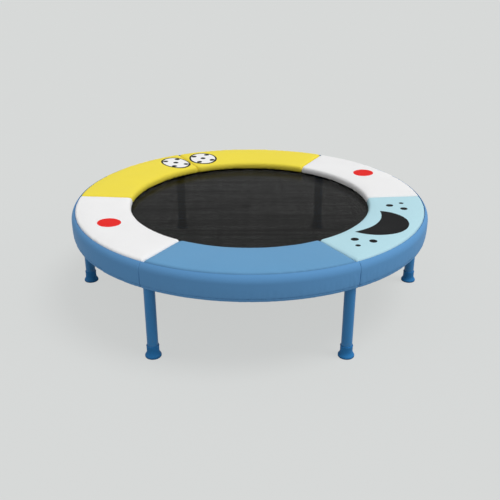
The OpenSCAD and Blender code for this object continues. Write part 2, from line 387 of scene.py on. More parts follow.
def disc(centre, radius, stretch=1.0, turn=0.0):
    """Mask of a filled disc, or of an oval when stretch along the direction of turn isn't 1."""
    def mask(f):
        offset = f.vector("MULTIPLY", f.vector("SUBTRACT", f.place, (*centre, 0)), (1, 1, 0))
        along = f.vector("DOT_PRODUCT", offset, (math.cos(turn), math.sin(turn), 0))
        across = f.vector("DOT_PRODUCT", offset, (-math.sin(turn), math.cos(turn), 0))
        scaled = f.math("DIVIDE", along, stretch)
        squares = [f.math("MULTIPLY", reach, reach) for reach in (scaled, across)]
        far = f.math("SQRT", f.math("ADD", *squares))
        return f.remap(far, radius - INK_EDGE, radius + INK_EDGE, 1, 0)
    return mask


def without(mask, cut):
    """The first mask where the second one isn't."""
    return lambda f: f.math("MULTIPLY", mask(f), f.math("SUBTRACT", 1.0, cut(f)))


# %% Dotted oval
RED = linear(228, 34, 30)
INK = linear(17, 17, 19)
WHITE = linear(240, 240, 240)


def dotted_oval(radius, from_front):
    """A white oval with a dark rim and five dark dots, one in the middle and four round it."""
    turn = math.radians(from_front) + FRONT
    centre = Vector(pad_place(radius, from_front))
    out = Vector((math.cos(turn), math.sin(turn)))
    along = Vector((-math.sin(turn), math.cos(turn)))
    rim = disc(centre, OVAL, OVAL_STRETCH, turn)
    face = disc(centre, OVAL - OVAL_RIM, OVAL_STRETCH, turn)
    spots = [centre] + [centre + OVAL * DOT_SPREAD * (u * OVAL_STRETCH * out + v * along)
                        for u in (-1, 1) for v in (-1, 1)]
    return [(rim, INK), (face, WHITE)] + [(disc(spot, OVAL_DOT), INK) for spot in spots]


# %% [markdown]
# ### Where the prints go
#
# The dotted ovals sit either side of the seam between the two yellow sections. The crescent's hollow
# side faces the mat, and three dots stand at each of its tips. Only the top of a pad is printed, so a
# print stops below half the pad's height.

# %% Print layout
RED_DOT = 28.5 * MM
CRESCENT = 80 * MM
CRESCENT_CUT = 132 * MM
crescent_mid = pad_place(349 * MM, 59.8)
crescent_cut = pad_place(223 * MM, 60.5)
BIG_DOT, SMALL_DOT = 9.2 * MM, 6.0 * MM
crescent_dots = [(362 * MM, 80.0, BIG_DOT), (392 * MM, 82.9, SMALL_DOT), (398 * MM, 77.2, BIG_DOT),
                 (366 * MM, 40.7, BIG_DOT), (402 * MM, 43.9, BIG_DOT), (395 * MM, 37.6, SMALL_DOT)]

prints = {i: [] for i in range(1, SECTIONS + 1)}
prints[3].append((disc(pad_place(385 * MM, 121.5), RED_DOT), RED))
prints[6].append((disc(pad_place(382 * MM, -62), RED_DOT), RED))
prints[4] += dotted_oval(375 * MM, -157.4)
prints[5] += dotted_oval(375 * MM, -143.4)
prints[2].append((without(disc(crescent_mid, CRESCENT), disc(crescent_cut, CRESCENT_CUT)), INK))
prints[2] += [(disc(pad_place(radius, angle), size), INK) for radius, angle, size in crescent_dots]

# %% [markdown]
# ### Fabric colours
#
# The sections are mid blue, light blue, white, yellow, yellow and white, anticlockwise from the front.
# Each section has a finish of its own, because each carries its own prints. The skirt is one blue all
# round: the front pad's fabric, made a little bluer as a painted tint of the bluish light in its shade.

# %% Fabric colours
MID_BLUE = linear(104, 157, 198)
LIGHT_BLUE = linear(184, 222, 232)
YELLOW = linear(240, 221, 74)
pad_colours = [MID_BLUE, LIGHT_BLUE, WHITE, YELLOW, YELLOW, WHITE]
pad_finishes = [coated_fabric(f"pad_fabric_{i + 1}", pad_colours[i], prints[i + 1])
                for i in range(SECTIONS)]
# painted light: the front pad's blue, tinted bluer for the bluish light that reaches the shaded skirt
SKIRT_BLUE_WITH_BOUNCE_TINT = linear(101, 158, 210)
skirt_finish = coated_fabric("skirt_fabric", SKIRT_BLUE_WITH_BOUNCE_TINT)
print("pad finishes:", [m.name for m in pad_finishes])

# %% [markdown]
# ## Finish: painted tube
#
# The ring and legs are powder coated. Powder melts into a satin skin with a faint orange peel, so the
# relief is a soft noise a few millimetres across and only hundredths of a millimetre deep. Near the
# floor the paint is a little scuffed and dusty.

# %% Painted tube
LEG_BLUE = linear(53, 131, 192)
SCUFF_GREY = linear(120, 130, 138)
SCUFF_LOW, SCUFF_HIGH = 20 * MM, 90 * MM
SCUFF_SHARE, SCUFF_DULL = 0.35, 0.25
PEEL, PEEL_DEPTH = 450, 0.00008


def painted_tube(name, colour):
    """Powder coat with a faint orange peel, scuffed and dusty near the floor."""
    f = Finish(name, roughness=0.38, specular=0.3)
    low = f.remap(f.height(), SCUFF_LOW, SCUFF_HIGH, 1, 0, smooth=True)
    scuff = f.math("MULTIPLY", low, f.remap(f.noise(140, 4), 0.52, 0.72))
    base = f.mix(f.noise(14, 2), shade(colour, 0.93), shade(colour, 1.05))
    f.colour(f.mix(f.math("MULTIPLY", scuff, SCUFF_SHARE), base, SCUFF_GREY))
    gloss = f.remap(f.noise(35, 3), 0.3, 0.7, 0.32, 0.42)
    f.rough(f.math("ADD", gloss, f.math("MULTIPLY", scuff, SCUFF_DULL)))
    f.bump(f.noise(PEEL, 2), PEEL_DEPTH, 0.5)
    return f.material


paint = painted_tube("blue_powder_coat", LEG_BLUE)

# %% [markdown]
# ## Finish: plated and turned steel
#
# The springs, rings and studs are zinc plated. Plating is bright but patchy in its gloss. The inserts
# are turned on a lathe, so their fine grooves run round the axis: noise that is squeezed along the
# height draws them.

# %% Steel
def plated_steel(name, colour, turned_grooves=False):
    """Bright steel that is patchy in its gloss, with a lathe's grooves or a plating's fine grain."""
    f = Finish(name, roughness=0.3, metallic=1.0)
    f.colour(f.mix(f.noise(120, 3), shade(colour, 0.86), shade(colour, 1.04)))
    f.rough(f.remap(f.noise(60, 3), 0.3, 0.7, 0.24, 0.42))
    if turned_grooves:
        f.bump(f.noise(1, 2, vector=f.scaled(5, 5, 4000)), 0.00005, 0.5)
    else:
        f.bump(f.noise(900, 2), 0.00004, 0.4)
    return f.material


zinc = plated_steel("zinc_plate", linear(200, 202, 205))
turned_steel = plated_steel("turned_steel", linear(168, 170, 173), turned_grooves=True)

# %% [markdown]
# ## Finish: rubber, webbing and thread
#
# The foot caps are moulded in a blue rubber that is nearly matt, with a dark line of painted shade where
# they meet the floor. Webbing and thread are spun and woven so finely that only a relief of about a
# millimetre shows, with painted light on its ridges and painted shade in its hollows. Noise of that
# size, used for both relief and colour, is enough.

# %% Rubber, webbing and thread
# how high above the floor the painted contact shade reaches, and how dark it gets
CONTACT_SHADE_LOW, CONTACT_SHADE_HIGH, CONTACT_SHADE_SHARE = 1 * MM, 6 * MM, 0.6
YARNS, YARN_DEPTH = 900, 0.0004


def moulded_rubber(name, colour):
    """Matt rubber with painted contact shade just above the floor."""
    f = Finish(name, roughness=0.6, specular=0.2)
    # painted shade: a darker copy of the rubber in the few millimetres where the cap meets the floor
    contact_shade = f.remap(f.height(), CONTACT_SHADE_LOW, CONTACT_SHADE_HIGH, CONTACT_SHADE_SHARE, 0, smooth=True)
    base = f.mix(f.noise(40, 3), shade(colour, 0.88), shade(colour, 1.08))
    f.colour(f.mix(contact_shade, base, shade(colour, 0.3)))
    f.rough(f.remap(f.noise(80, 3), 0.3, 0.7, 0.52, 0.68))
    f.bump(f.noise(700, 3), 0.0001, 0.5)
    return f.material


def webbing(name, colour):
    """Spun webbing with a fine relief, painted light on its ridges and painted shade in its hollows."""
    f = Finish(name, roughness=0.75, specular=0.25)
    yarn_relief_and_shade = f.noise(1, 1, vector=f.scaled(YARNS, YARNS, YARNS))
    # painted light and shade: the colour follows the relief, lighter on its ridges and darker in its
    # hollows
    f.colour(f.mix(yarn_relief_and_shade, shade(colour, 0.6), shade(colour, 1.5)))
    f.bump(yarn_relief_and_shade, YARN_DEPTH, 0.6)
    return f.material


rubber = moulded_rubber("blue_rubber", linear(42, 122, 184))
black_webbing = webbing("black_webbing", linear(30, 30, 31))
# painted shade: the thread is a darker blue than the fabric, so the hem and rim seam read as shadowed lines
thread_and_seam_shade = webbing("thread_and_seam_shade", linear(66, 112, 158))

# %% [markdown]
# ## Finish: the mat's weave
#
# The mat is woven from flat black strands, tight enough to stand on but with a pinhole between each
# four strands, through which the floor and legs show faintly. The weave is drawn from two sets of
# waves, 2.2 mm apart. Where a gap one way meets a gap the other way there is a pinhole, crossed by
# loose fibres, and some light passes. No loom packs its rows quite evenly, so noise that is stretched
# along the rows, and fainter noise along the columns, opens and closes the pinholes a little. The mat
# has an upper and a lower face, but a line of sight should meet the weave once, so each face is fully
# clear from its inside.

# %% Mat weave
STRAND = 2.2 * MM
STRAND_DEPTH = 0.00025
PINHOLE = 0.42
PINHOLE_CLEAR = 0.5
ALONG_ROW, ACROSS_ROW = 2.5, 75
ALONG_COLUMN, ACROSS_COLUMN = 3, 110


def woven_mat(name):
    """Black strands that cross each other, with clear pinholes between them."""
    f = Finish(name, roughness=0.13, specular=0.0155)
    place = f.split()

    def wave(axis):
        return f.math("SINE", f.math("MULTIPLY", place[axis], 2 * math.pi / STRAND))

    def gap(axis):
        cell = f.math("FRACT", f.math("DIVIDE", place[axis], STRAND))
        from_middle = f.math("ABSOLUTE", f.math("SUBTRACT", cell, 0.5))
        return f.remap(from_middle, 0, PINHOLE / 2, 1, 0, smooth=True)

    def packing(x, y, least, most):
        return f.remap(f.noise(1, 1, vector=f.scaled(x, y, 1)), 0.35, 0.65, least, most)

    over = f.math("MULTIPLY", wave("X"), wave("Y"))
    rows = packing(ALONG_ROW, ACROSS_ROW, 0.6, 1.24)
    columns = packing(ACROSS_COLUMN, ALONG_COLUMN, 0.86, 1.14)
    clear_share = f.math("MULTIPLY", f.math("MULTIPLY", rows, columns), PINHOLE_CLEAR)
    pinhole = f.math("MULTIPLY", f.math("MULTIPLY", gap("X"), gap("Y")), clear_share)
    inside = f.nodes.new("ShaderNodeNewGeometry").outputs["Backfacing"]
    # painted light and shade: the strands are lighter where they cross over and darker where they dip under
    base = f.mix(f.remap(over, -1, 1), linear(3, 3, 3), linear(11, 11, 9))
    f.colour(f.mix(f.remap(f.noise(5, 3), 0.35, 0.65, 0, 0.2), base, linear(14, 14, 12)))
    f.bump(over, STRAND_DEPTH, 0.06)
    clear = f.nodes.new("ShaderNodeBsdfTransparent")
    f.let_through(f.math("MAXIMUM", pinhole, inside), clear.outputs[0])
    return f.material


mat_weave = woven_mat("mat_weave")

# %% [markdown]
# ## Finish the parts that keep their shape
#
# Tubes, sockets, studs, inserts, straps and the hem elastic are already the right shape in the frame.
# They only need their finishes.

# %% Finish the carried-over parts
def finish_node(node, material):
    """Gives a part of the frame its material."""
    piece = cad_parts[node]
    piece.data.materials.clear()
    piece.data.materials.append(material)


finish_node("frame_ring", paint)
finish_node("leg_studs", zinc)
finish_node("tie_straps", black_webbing)
finish_node("skirt_elastic", black_webbing)
for i in range(1, SECTIONS + 1):
    finish_node(f"leg_socket_{i}", paint)
    finish_node(f"leg_tube_{i}", paint)
    finish_node(f"leg_insert_{i}", turned_steel)
print("finished parts:", 4 + 3 * SECTIONS)

# %% [markdown]
# ## The pads: a cushion made by pressure
#
# Each section of the pad is a foam slab in a sewn cover. Foam fills its cover like air does, so a cloth
# simulation with a little pressure gives the right form: full in the middle, pulled in where it is
# sewn. All six sections are alike, so one is simulated and then turned into place. It starts as the
# slab's outline in cross-section, swept through a sixth of a turn, a little smaller than the finished
# pad because it will swell.

# %% Slab outline
SWELL = 2.5 * MM
PAD_GAP = 0.35 * MM
RIM_LIFT = 1.0 * MM
SOFT_EDGE, SEWN_EDGE = 10 * MM, 1.5 * MM
EDGE_STEPS = 6
PAD_COLUMNS = 61
SEAM_INSET = 2.5 * MM
BASE_LIFT = 0.2 * MM
seam_r = pad_out - SEAM_INSET


def slab_outline(inset):
    """Cross-section of the pad, as (radius, height), with its two top edges rounded."""
    soft, sewn = SOFT_EDGE - inset, SEWN_EDGE
    r0, r1 = pad_in + inset, seam_r
    z0, z1, z2 = pad_bottom + BASE_LIFT, pad_top - inset, pad_top + RIM_LIFT
    points = [(r0, z0), (r0, z1 - soft)]
    for k in range(1, EDGE_STEPS + 1):
        a = math.pi - k / EDGE_STEPS * math.pi / 2
        points.append((r0 + soft + soft * math.cos(a), z1 - soft + soft * math.sin(a)))
    for k in range(EDGE_STEPS):
        a = math.pi / 2 - k / (EDGE_STEPS - 1) * math.pi / 2
        points.append((r1 - sewn + sewn * math.cos(a), z2 - sewn + sewn * math.sin(a)))
    return points + [(r1, z0)]


def slab_mesh(inset):
    """One section of the pad about the +X axis, closed at both ends."""
    outline = slab_outline(inset)
    half = SECTION / 2 - PAD_GAP / pad_in
    angles = np.linspace(-half, half, PAD_COLUMNS)
    points = [(r * math.cos(a), r * math.sin(a), z) for a in angles for r, z in outline]
    count = len(outline)
    faces = grid_faces(len(angles), count, wrap_columns=True)
    last = (len(angles) - 1) * count
    faces += [list(range(count)), list(range(last, last + count))[::-1]]
    return points, faces


# %% [markdown]
# ### Swell it
#
# The slab is rebuilt from small even cells, so that the cloth can bend anywhere, and every point on the
# underside, the outer wall and the two sewn ends is held. Pressure then lifts the top and the inner
# wall. The pad may only rise a few millimetres, so each point's move is capped afterwards.

# %% Pad simulation
VOXEL = 5 * MM
PRESSURE = 2.4
MOST_RISE = 4 * MM
SIM_FRAMES = 20
HELD_EDGE = 2 * MM


def apply_modifiers(piece):
    """Turns what the modifiers show into the piece's own mesh."""
    shown = piece.evaluated_get(bpy.context.evaluated_depsgraph_get())
    mesh = bpy.data.meshes.new_from_object(shown)
    piece.modifiers.clear()
    piece.data = mesh


def coordinates(mesh):
    """The places of a mesh's points, one row each."""
    flat = np.empty(len(mesh.vertices) * 3)
    mesh.vertices.foreach_get("co", flat)
    return flat.reshape(-1, 3)


# %% Swollen pad
def swollen_pad():
    """Points and faces of one padded section about the +X axis."""
    slab = add_piece("slab", *slab_mesh(SWELL), pad_finishes[0], None)
    remesh = slab.modifiers.new("cells", "REMESH")
    remesh.mode = "VOXEL"
    remesh.voxel_size = VOXEL
    apply_modifiers(slab)
    start = coordinates(slab.data)
    half = SECTION / 2 - PAD_GAP / pad_in
    radius = np.hypot(start[:, 0], start[:, 1])
    angle = np.arctan2(start[:, 1], start[:, 0])
    held = (start[:, 2] < pad_bottom + HELD_EDGE) | (radius > seam_r - HELD_EDGE)
    held |= np.abs(angle) > half - HELD_EDGE / radius
    group = slab.vertex_groups.new(name="sewn")
    group.add([int(v) for v in np.flatnonzero(held)], 1.0, "REPLACE")
    cloth = slab.modifiers.new("cloth", "CLOTH")
    cloth.settings.quality = 6
    cloth.settings.mass = 0.3
    cloth.settings.tension_stiffness = 25
    cloth.settings.compression_stiffness = 25
    cloth.settings.bending_stiffness = 2
    cloth.settings.use_pressure = True
    cloth.settings.uniform_pressure_force = PRESSURE
    cloth.settings.effector_weights.gravity = 0
    cloth.settings.vertex_group_mass = "sewn"
    cloth.collision_settings.use_collision = False
    for step in range(1, SIM_FRAMES + 1):
        bpy.context.scene.frame_set(step)
    apply_modifiers(slab)
    end = coordinates(slab.data)
    move = end - start
    far = np.linalg.norm(move, axis=1)
    print(f"the pad swelled by up to {far.max() / MM:.1f} mm, capped at {MOST_RISE / MM:.0f}")
    share = MOST_RISE * np.tanh(far / MOST_RISE) / np.maximum(far, 1e-9)
    start = start + move * share[:, None]
    slab.data.vertices.foreach_set("co", start.ravel())
    smooth = slab.modifiers.new("smooth", "SUBSURF")
    smooth.levels = 1
    apply_modifiers(slab)
    points = coordinates(slab.data)
    faces = [list(p.vertices) for p in slab.data.polygons]
    bpy.data.objects.remove(slab)
    return points, faces


pad_points, pad_faces = swollen_pad()
print("one pad section has", len(pad_points), "points")

# %% [markdown]
# ### Sew the sections together
#
# Where two sections meet, the seam pulls both covers down into a shallow valley, deepest where it
# turns over the soft inner edge. Along the rim the top rolls down to the seam with the skirt. The
# valleys come after the simulation, because rebuilding the slab from cells would smooth them away.
# Each section also gets its own faint unevenness, and hand sewing leaves the seams up to two degrees
# off equal sixths, so the six aren't copies. The seams below are in degrees from the front.

# %% Pad sections
pad_seams = [-30.5, 30.5, 92, 150.3, 209.7, 268]
VALLEY = 1.1 * MM
VALLEY_INNER = 3.2 * MM
VALLEY_WIDTH = 5 * MM
RIM_SEAM = 1.6 * MM
RIM_WIDTH = 2.2 * MM
DROOP = 1.6 * MM
DROOP_WIDTH = 12 * MM
INNER_EDGE = 22 * MM
INNER_BULGE = 4 * MM
TOP_LIMIT = 3 * MM
SEAM_PULL = 0.8
UNEVEN = 0.5 * MM
UNEVEN_LUMPS = 22
SECTION_SEED = 7.3


def sewn_section(i):
    """Points of section i in place, with its seams pulled in."""
    half = SECTION / 2
    x, y, z = pad_points.T
    radius, angle = np.hypot(x, y), np.arctan2(y, x)
    to_seam = (half - np.abs(angle)) * radius
    near = np.exp(-(to_seam / VALLEY_WIDTH) ** 2)
    on_top = np.clip((z - pad_bottom) / (pad_top - pad_bottom), 0, 1)
    edge = np.clip(1 - (radius - pad_in) / INNER_EDGE, 0, 1)
    seed = Vector((SECTION_SEED * i, 0, 0))
    wobble = np.array([noise.noise(Vector(p) * UNEVEN_LUMPS + seed) for p in pad_points])
    height = z - near * on_top * (VALLEY + (VALLEY_INNER - VALLEY) * edge)
    height += UNEVEN * wobble * on_top
    height -= RIM_SEAM * np.exp(-((radius - seam_r) / RIM_WIDTH) ** 2) * on_top
    height -= DROOP * np.clip(1 - (radius - pad_in) / DROOP_WIDTH, 0, 1) * (1 - on_top)
    pulled = radius + near * edge * VALLEY_INNER * SEAM_PULL
    outward = np.clip(pulled, pad_in - INNER_BULGE, seam_r)
    limit = half - PAD_GAP / radius
    angle = np.clip(angle, -limit, limit)
    first, last = (math.radians(a) + FRONT for a in (pad_seams[i - 1], pad_seams[i % SECTIONS]))
    if last < first:
        last += 2 * math.pi
    angle = first + (angle / half + 1) / 2 * (last - first)
    height = np.clip(height, pad_bottom - DROOP, skirt_top + TOP_LIMIT)
    return np.column_stack([outward * np.cos(angle), outward * np.sin(angle), height])


for i in range(1, SECTIONS + 1):
    finish = pad_finishes[i - 1]
    section = add_piece(f"pad_section_{i}", sewn_section(i), pad_faces, finish, "frame")
    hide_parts(f"pad_cover_{i}", f"pad_foam_{i}")
    print(section.name, "seams at", pad_seams[i - 1], "and", pad_seams[i % SECTIONS], "degrees")

# %% [markdown]
# ## The skirt: gathered panels
#
# The skirt is six panels of the same coated fabric. Each rolls out of the seam at the rim, curves
# over a soft shoulder, then hangs past the ring and ends in a hem with elastic in it. The elastic
# gathers the fabric into fine upright creases, stronger near the hem and near the seams. A panel is a
# grid: one direction runs round the trampoline, the other from the top seam down to the hem. A seam
# allowance of 7 mm goes into the pad's rim below its top, so that no gap shows between the two.

# %% Skirt profile
HEM = 6.5 * MM
SEAM_GAP = 1.2 * MM
SEAM_DEPTH = 3.0 * MM
ALLOWANCE = 7.0 * MM
ALLOWANCE_DROP = 0.4 * MM
FOLD_IN, LIP_IN, LIP_DOWN = 0.9 * MM, 0.35 * MM, 0.8 * MM
ABOVE_HEM = 2 * MM
SHOULDER_OUT, SHOULDER_DOWN = 8.1 * MM, 20 * MM
SHOULDER_BEND = 2.3
SHOULDER_BELOW = 3.0 * MM
shoulder_top = pad_top - SHOULDER_BELOW
shoulder_in = seam_r + SEAM_GAP
shoulder_r = shoulder_in + SHOULDER_OUT
shoulder_z = shoulder_top - SHOULDER_DOWN


def hanging_r(t):
    """Radius of the hanging part at a share t of the way from the shoulder to the bottom."""
    return shoulder_r + (skirt_foot - shoulder_r) * t ** 3


def skirt_profile():
    """Outer face of the skirt from allowance to hem, as (radius, height, share of the way down)."""
    fold_z = shoulder_top - SEAM_DEPTH
    line = [(shoulder_in - ALLOWANCE, fold_z - ALLOWANCE_DROP, 0.0), (shoulder_in - FOLD_IN, fold_z, 0.0)]
    line.append((shoulder_in - LIP_IN, shoulder_top - LIP_DOWN, 0.0))
    for down in np.linspace(0, 1, 16):
        out = SHOULDER_OUT * (1 - (1 - down) ** SHOULDER_BEND)
        line.append((shoulder_in + out, shoulder_top - SHOULDER_DOWN * down, 0.0))
    side = shoulder_z - skirt_bottom
    above_hem = np.linspace(0, 1 - (HEM + ABOVE_HEM) / side, 18)[1:]
    for t in (*above_hem, *np.linspace(above_hem[-1], 1, 18)[1:]):
        line.append((hanging_r(t), shoulder_z - side * t, t))
    return line


skirt_line = skirt_profile()

# %% [markdown]
# ### Creases
#
# A crease is a small in-and-out wave along the panel. Two layers of smooth noise, one fine and one
# broad, are stretched down the panel so that they read as upright folds, and a third layer gathers the
# cloth near each seam. All three grow deeper towards the hem.

# %% Skirt panels
CREASE = 0.6 * MM
PUCKER = 0.9 * MM
STITCH_DIP = 1.1 * MM
HEM_TUCK = 1.3 * MM
PANEL_SEAM = 1.6 * MM
PANEL_SEAM_WIDTH = 1.6 * MM
STITCH_WIDTH = 1.1 * MM
GATHER_REACH = 45 * MM
PANEL_COLUMN = 2.2 * MM
FINE_FOLDS, BROAD_FOLDS, GATHERS = 120, 38, 160
side_seams = [-31.2, 31.2, 90, 148.8, 211.2, 270, 360 - 31.2]
panel_edges = list(zip(side_seams, side_seams[1:]))


def crease(along, t, seed):
    """Depth of the folds at a distance along the panel and a share t of the way down."""
    fine = noise.noise(Vector((along * FINE_FOLDS, t * 1.1, seed)))
    broad = noise.noise(Vector((along * BROAD_FOLDS, t * 0.8, seed + 20)))
    return fine * (0.25 + 0.75 * t) + 0.7 * broad * (0.3 + 0.7 * t)


def pushed_out(along, to_seam, z, t, i):
    """How far panel i stands out at one place: folds and gathers, less what the threads pull in."""
    tuck = math.exp(-(to_seam / PANEL_SEAM_WIDTH) ** 2)
    gather = math.exp(-to_seam / GATHER_REACH)
    depth = CREASE * crease(along, t, i * 3.1)
    depth += PUCKER * gather * noise.noise(Vector((along * GATHERS, t * 2.2, i * 5.7 + 3)))
    depth *= min(1, 0.12 + 1.6 * t)
    stitch = math.exp(-((z - skirt_bottom - HEM) / STITCH_WIDTH) ** 2)
    under_hem = min(1, max(0, (skirt_bottom + HEM - z) / HEM))
    seam = PANEL_SEAM * tuck * (0.4 + 0.6 * min(1, t * 3))
    return depth - STITCH_DIP * stitch - HEM_TUCK * under_hem - seam


def skirt_panel(i):
    """Points and faces of skirt panel i, its outer face only."""
    start, end = (math.radians(a) + FRONT for a in panel_edges[i - 1])
    columns = int((end - start) * skirt_foot / PANEL_COLUMN)
    points = []
    for c in range(columns + 1):
        a = start + (end - start) * c / columns
        along = (a - start) * skirt_foot
        to_seam = min(along, (end - start) * skirt_foot - along)
        for r, z, t in skirt_line:
            out = r + pushed_out(along, to_seam, z, t, i)
            points.append((out * math.cos(a), out * math.sin(a), z))
    return points, grid_faces(columns + 1, len(skirt_line))


# %% [markdown]
# ### Give the panels a thickness
#
# The grid is the outer face only. A solidify modifier adds the inner face a millimetre behind it, on
# the inside, and closes the edges.

# %% Skirt thickness
SKIRT_THICKNESS = 1.0 * MM
for i in range(1, SECTIONS + 1):
    panel = add_piece(f"skirt_panel_{i}", *skirt_panel(i), skirt_finish, "frame")
    thick = panel.modifiers.new("thickness", "SOLIDIFY")
    thick.thickness = SKIRT_THICKNESS
    thick.offset = -1
    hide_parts(f"side_skirt_{i}")
print("skirt panels:", SECTIONS)

# %% [markdown]
# ### Stitching
#
# The hem is closed by a row of stitches. Each is a short bead of thread, thin at both ends, lying in the
# dip that the thread pulled into the fabric. A row of longer, heavier stitches lies in the seam at the
# rim. The thread is darker than the fabric, a painted shade that draws the hem and the rim seam as thin
# dark lines round the skirt and the pad.

# %% Hem and rim stitches
STITCH = 3.2 * MM
STITCH_STEP = 4.4 * MM
THREAD = 0.35 * MM
RIM_STITCH, RIM_THREAD, RIM_THREAD_DOWN = 4.0 * MM, 0.42 * MM, 0.6 * MM


def stitch_bead(start, end, radius):
    """One stitch between two points, thin where it goes into the cloth."""
    start, end = np.asarray(start), np.asarray(end)
    path = [start + (end - start) * s for s in (0, 0.12, 0.5, 0.88, 1)]
    return swept_tube(path, np.array([0.35, 0.9, 1, 0.9, 0.35]) * radius, sides=6)


def stitch_ring(ring, height, length, radius):
    """A full ring of stitches."""
    count = int(2 * math.pi * ring / STITCH_STEP)
    half = length / 2 / ring
    beads = []
    for k in range(count):
        a = 2 * math.pi * (k + 0.5) / count
        ends = [(ring * math.cos(b), ring * math.sin(b), height) for b in (a - half, a + half)]
        beads.append(stitch_bead(*ends, radius))
    return joined(beads)


hem_z = skirt_bottom + HEM
hem_r = hanging_r(1 - HEM / (shoulder_z - skirt_bottom)) - STITCH_DIP
hem_beads = stitch_ring(hem_r, hem_z, STITCH, THREAD)
# the rim stitches fill the seam with dark thread, painted shade for the seam's groove
rim_r, rim_z = seam_r + SEAM_GAP / 2, shoulder_top - RIM_THREAD_DOWN
rim_beads = stitch_ring(rim_r, rim_z, RIM_STITCH, RIM_THREAD)
for name, beads in (("hem_stitches", hem_beads), ("rim_stitches", rim_beads)):
    stitches = add_piece(name, *beads, thread_and_seam_shade, "frame")
    print(name, "faces:", len(stitches.data.polygons))

# %% [markdown]
# ## The foot caps
#
# A foot cap is a moulded sleeve that flares to a lip on the floor. A lathe profile suits it: half the
# outline, turned round the leg's axis. The edges are rounded as moulded rubber is, the mouth has a
# small bead, and the underside has rings for grip.

# %% Foot caps
foot_low, foot_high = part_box("foot_cap_2")
foot_h = foot_high.z
lip_r = (foot_high.y - foot_low.y) / 2
FOOT_SIDES = 72
FOOT_SOLE = 6 * MM
FLARE_TOP, LIP = 16 * MM, 5 * MM
SLEEVE_WALL = 1.6 * MM
HOLLOW, GROOVE = 1.2 * MM, 1.0 * MM


def arc(cx, cy, r, a0, a1, steps):
    """Points of an arc in the plane, angles in degrees."""
    return [(cx + r * math.cos(math.radians(a0 + (a1 - a0) * k / steps)),
             cy + r * math.sin(math.radians(a0 + (a1 - a0) * k / steps))) for k in range(steps + 1)]


def foot_profile():
    """Outline of the foot cap from the middle of its sole to the middle of its inside."""
    sleeve = tube_r + SLEEVE_WALL
    step = lip_r - sleeve
    flare = (step ** 2 + (FLARE_TOP - LIP) ** 2) / (2 * step)
    reach = math.degrees(math.asin((FLARE_TOP - LIP) / flare))
    sole = [(0, HOLLOW), (5 * MM, HOLLOW), (6 * MM, 0.0), (8.5 * MM, 0.0)]
    sole += [(9.5 * MM, GROOVE), (11.5 * MM, GROOVE), (12.5 * MM, 0.0), (lip_r - 1.6 * MM, 0.0)]
    rim = arc(lip_r - 1.5 * MM, 1.5 * MM, 1.5 * MM, -75, 0, 5)
    rim += arc(lip_r - 1.0 * MM, LIP - 1.2 * MM, 1.0 * MM, 0, 60, 4)
    side = arc(sleeve + flare, FLARE_TOP, flare, 180 + reach * 0.9, 180, 12)
    bead = arc(sleeve - 0.1 * MM, foot_h - 2.0 * MM, 0.6 * MM, -60, 60, 4)
    mouth = [(sleeve, foot_h - 3.2 * MM)] + bead
    mouth += arc(sleeve - 0.7 * MM, foot_h - 0.7 * MM, 0.7 * MM, 0, 90, 4)
    inside = [(tube_r + 0.1 * MM, foot_h - 0.4 * MM), (tube_r, foot_h - 1 * MM)]
    inside += [(tube_r, FOOT_SOLE), (0, FOOT_SOLE)]
    return sole + rim + side + mouth + inside


# %% Turn the profile
def turned_solid(profile, centre, sides):
    """A closed solid of revolution about a vertical axis; the profile starts and ends on the axis."""
    points = [(centre[0], centre[1], profile[0][1]), (centre[0], centre[1], profile[-1][1])]
    ring = profile[1:-1]
    for k in range(sides):
        a = 2 * math.pi * k / sides
        points += [(centre[0] + r * math.cos(a), centre[1] + r * math.sin(a), z) for r, z in ring]
    faces = [[i + 2 for i in face] for face in grid_faces(sides, len(ring), wrap_rows=True)]
    for k in range(sides):
        here, there = 2 + k * len(ring), 2 + (k + 1) % sides * len(ring)
        faces += [[0, here, there], [1, there + len(ring) - 1, here + len(ring) - 1]]
    return points, faces


for i in range(1, SECTIONS + 1):
    centre = (ring_r * math.cos(leg_angle(i)), ring_r * math.sin(leg_angle(i)))
    cap_mesh = turned_solid(foot_profile(), centre, FOOT_SIDES)
    cap = add_piece(f"foot_cap_moulded_{i}", *cap_mesh, rubber, f"leg_{i}")
    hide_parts(f"foot_cap_{i}")
print(f"foot caps: {lip_r / MM:.1f} mm lip radius, {foot_h / MM:.0f} mm high")

# %% [markdown]
# ## The springs
#
# A spring is one wire: a hook round the D-ring, twenty close turns, and a tail that goes through a hole
# in the frame ring's inner side and turns down behind its wall. The wire's path is written once along
# +X, from the mat outwards, then swept into a tube and turned into its 36 places. Under a load the mat
# end goes down and the ring end stays.

# %% Spring path
WIRE = 1.2 * MM
COIL = 6.3 * MM
TURNS = 20
TURN_STEPS = 14
TURN_PITCH = 1.17
EYE = 3.2 * MM
EYE_REACH = 9 * MM
TAIL_REACH = 14.5 * MM
TAIL_BEND = 3 * MM
TAIL_DOWN = 7 * MM
TAB_BELOW, RING_BELOW = 1 * MM, 2.8 * MM
TUBE_WALL, HOLE_PLAY = 1.2 * MM, 0.3 * MM
spring_z = (mat_low.z - TAB_BELOW) - RING_BELOW
coil_len = TURNS * TURN_PITCH * 2 * WIRE
bore_r = tube_r - TUBE_WALL
ring_rise = spring_z - ring_z
tail_r = ring_r - math.sqrt(bore_r ** 2 - (ring_rise - TAIL_BEND) ** 2) + HOLE_PLAY + WIRE
coil_out = tail_r - TAIL_REACH
coil_in = coil_out - coil_len
apex_r = coil_in - EYE_REACH


